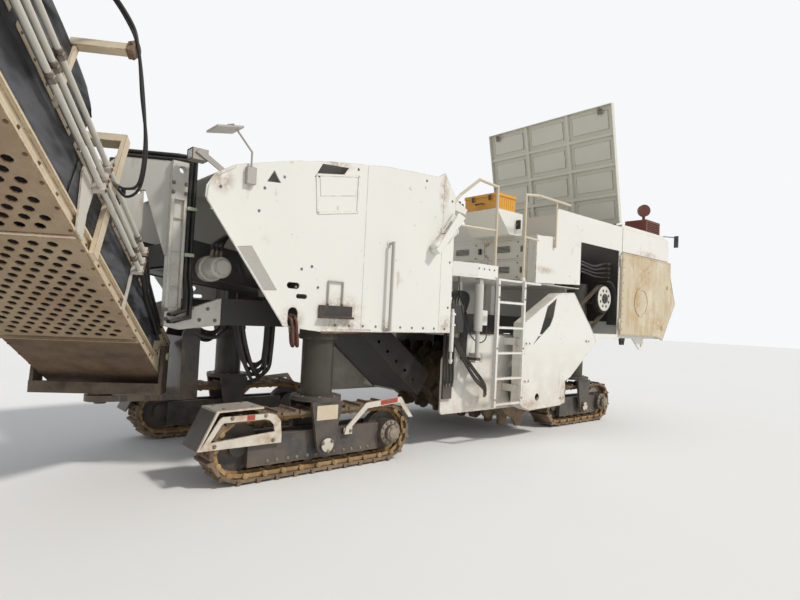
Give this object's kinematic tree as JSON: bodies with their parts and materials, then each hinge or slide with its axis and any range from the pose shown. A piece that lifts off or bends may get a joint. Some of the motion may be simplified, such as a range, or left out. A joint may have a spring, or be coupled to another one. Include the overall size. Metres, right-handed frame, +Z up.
{
  "type": "cold planer milling machine",
  "caption": "Tracked road milling machine with a cutting drum under its body, a swinging discharge conveyor, an operator's platform and a hinged engine hood.",
  "frame": {"origin": "under the middle of the machine's box, on the ground, with the conveyor swung out and raised as in the picture", "axes": "+X towards the machine's front, +Y to its left, +Z up"},
  "size_m": [12.7884, 7.263, 4.9008],
  "materials": {
    "body_paint": "worn gloss",
    "frame_paint": "worn satin",
    "dark_paint": "worn satin",
    "cream_paint": "worn satin",
    "tan_paint": "worn satin",
    "door_paint": "stained satin",
    "leg_paint": "oily satin",
    "rusty_iron": "rusty",
    "dark_iron": "dusty",
    "belt_rubber": "matt",
    "cover_fabric": "matt",
    "chrome": "polished",
    "yellow_paint": "worn gloss",
    "maroon_paint": "satin",
    "engine_paint": "oily"
  },
  "bodies": {
    "chassis": {"main_frame": "frame_paint", "cross_members": "frame_paint", "leg_sleeves": "frame_paint", "bay_panels": "body_paint", "bulkhead": "body_paint", "hydraulic_tank": "body_paint", "cooler": "dark_iron", "front_body": "body_paint", "front_tank": "frame_paint", "primary_conveyor": "dark_paint", "primary_belt": "belt_rubber", "cutter_housing": "body_paint", "moldboard": "dark_iron", "belt_drive": "dark_iron", "engine": "engine_paint", "engine_walls": "body_paint", "rear_body": "door_paint", "platform": "body_paint", "ladders": "body_paint", "handrails": "cream_paint", "consoles": "body_paint", "tool_case": "yellow_paint", "nose_frame": "frame_paint", "nose_hoses": "belt_rubber", "side_gear": "dark_paint", "front_fittings": "chrome", "rear_fittings": "maroon_paint", "pump_drive": "frame_paint"},
    "drum": {"drum": "rusty_iron"},
    "belt_guard": {"belt_guard": "body_paint"},
    "rear_door_left": {"rear_door_left": "door_paint"},
    "rear_door_right": {"rear_door_right": "door_paint"},
    "hood": {"hood": "body_paint"},
    "swing": {"swing_yoke": "frame_paint"},
    "conveyor": {"conveyor_frame": "cream_paint", "conveyor_guards": "tan_paint", "conveyor_belt": "belt_rubber", "conveyor_cover": "cover_fabric", "conveyor_tubes": "cream_paint", "conveyor_hoses": "belt_rubber", "lift_arch": "dark_paint"},
    "lift_barrel": {"lift_barrel": "dark_paint"},
    "lift_rod": {"lift_rod": "chrome"},
    "leg_fl": {"leg_fl": "leg_paint"},
    "track_fl": {"yoke_fl": "dark_paint", "bogie_fl": "dark_paint", "track_fl": "rusty_iron"},
    "leg_fr": {"leg_fr": "leg_paint"},
    "track_fr": {"yoke_fr": "dark_paint", "bogie_fr": "dark_paint", "track_fr": "rusty_iron"},
    "leg_rl": {"leg_rl": "leg_paint"},
    "track_rl": {"yoke_rl": "dark_paint", "bogie_rl": "dark_paint", "track_rl": "rusty_iron"},
    "leg_rr": {"leg_rr": "leg_paint"},
    "track_rr": {"yoke_rr": "dark_paint", "bogie_rr": "dark_paint", "track_rr": "rusty_iron"}
  },
  "joints": [
    {"name": "drum_spin", "type": "hinge", "parent": "chassis", "child": "drum", "pos_m": [-2.27088, -2.34825, 0.62], "axis": [0, 1, 0], "continuous": true},
    {"name": "belt_guard_door", "type": "hinge", "parent": "chassis", "child": "belt_guard", "pos_m": [-1.93888, -0.92325, 0.9], "axis": [0, 0, -1], "range_deg": [0, 100]},
    {"name": "rear_left_door", "type": "hinge", "parent": "chassis", "child": "rear_door_left", "pos_m": [-4.43588, -1.00825, 1.95], "axis": [0, 0, -1], "range_deg": [0, 110]},
    {"name": "rear_right_door", "type": "hinge", "parent": "chassis", "child": "rear_door_right", "pos_m": [-4.43588, -3.48825, 1.95], "axis": [0, 0, 1], "range_deg": [0, 110]},
    {"name": "hood_lid", "type": "hinge", "parent": "chassis", "child": "hood", "pos_m": [-4.46588, -2.24825, 3.085], "axis": [0, -1, 0], "range_deg": [-78, 7]},
    {"name": "conveyor_swing", "type": "hinge", "parent": "chassis", "child": "swing", "pos_m": [2.45912, -2.24825, 1.5], "axis": [0, 0, 1], "range_deg": [-118, 2]},
    {"name": "conveyor_lift", "type": "hinge", "parent": "swing", "child": "conveyor", "pos_m": [2.45912, -2.24825, 1.01], "axis": [0.848, -0.5299, 0], "range_deg": [-22.5, 10]},
    {"name": "lift_barrel_tilt", "type": "hinge", "parent": "swing", "child": "lift_barrel", "pos_m": [2.51212, -2.16344, 2.38], "axis": [0.848, -0.5299, 0], "range_deg": [-23, 10.5]},
    {"name": "lift_rod_stroke", "type": "slide", "parent": "lift_barrel", "child": "lift_rod", "axis": [0.5294, 0.8472, 0.0438], "range_m": [-0.24, 0.54]},
    {"name": "leg_fl_lift", "type": "slide", "parent": "chassis", "child": "leg_fl", "axis": [0, 0, 1], "range_m": [-0.12, 0.4]},
    {"name": "track_fl_steer", "type": "hinge", "parent": "leg_fl", "child": "track_fl", "pos_m": [0.83912, -1.24825, 0.7], "axis": [0, 0, 1], "range_deg": [-25, 25]},
    {"name": "leg_fr_lift", "type": "slide", "parent": "chassis", "child": "leg_fr", "axis": [0, 0, 1], "range_m": [-0.12, 0.4]},
    {"name": "track_fr_steer", "type": "hinge", "parent": "leg_fr", "child": "track_fr", "pos_m": [0.83912, -3.24825, 0.7], "axis": [0, 0, 1], "range_deg": [-25, 25]},
    {"name": "leg_rl_lift", "type": "slide", "parent": "chassis", "child": "leg_rl", "axis": [0, 0, 1], "range_m": [-0.12, 0.4]},
    {"name": "track_rl_steer", "type": "hinge", "parent": "leg_rl", "child": "track_rl", "pos_m": [-3.90088, -1.45825, 0.7], "axis": [0, 0, 1], "range_deg": [-12, 12]},
    {"name": "leg_rr_lift", "type": "slide", "parent": "chassis", "child": "leg_rr", "axis": [0, 0, 1], "range_m": [-0.12, 0.4]},
    {"name": "track_rr_steer", "type": "hinge", "parent": "leg_rr", "child": "track_rr", "pos_m": [-3.90088, -3.03825, 0.7], "axis": [0, 0, 1], "range_deg": [-12, 12]}
  ],
  "couplings": [
    {"joint": "lift_barrel_tilt", "follows": "conveyor_lift", "ratio": 1},
    {"joint": "lift_rod_stroke", "follows": "conveyor_lift", "m_per_rad": -1.34}
  ]
}
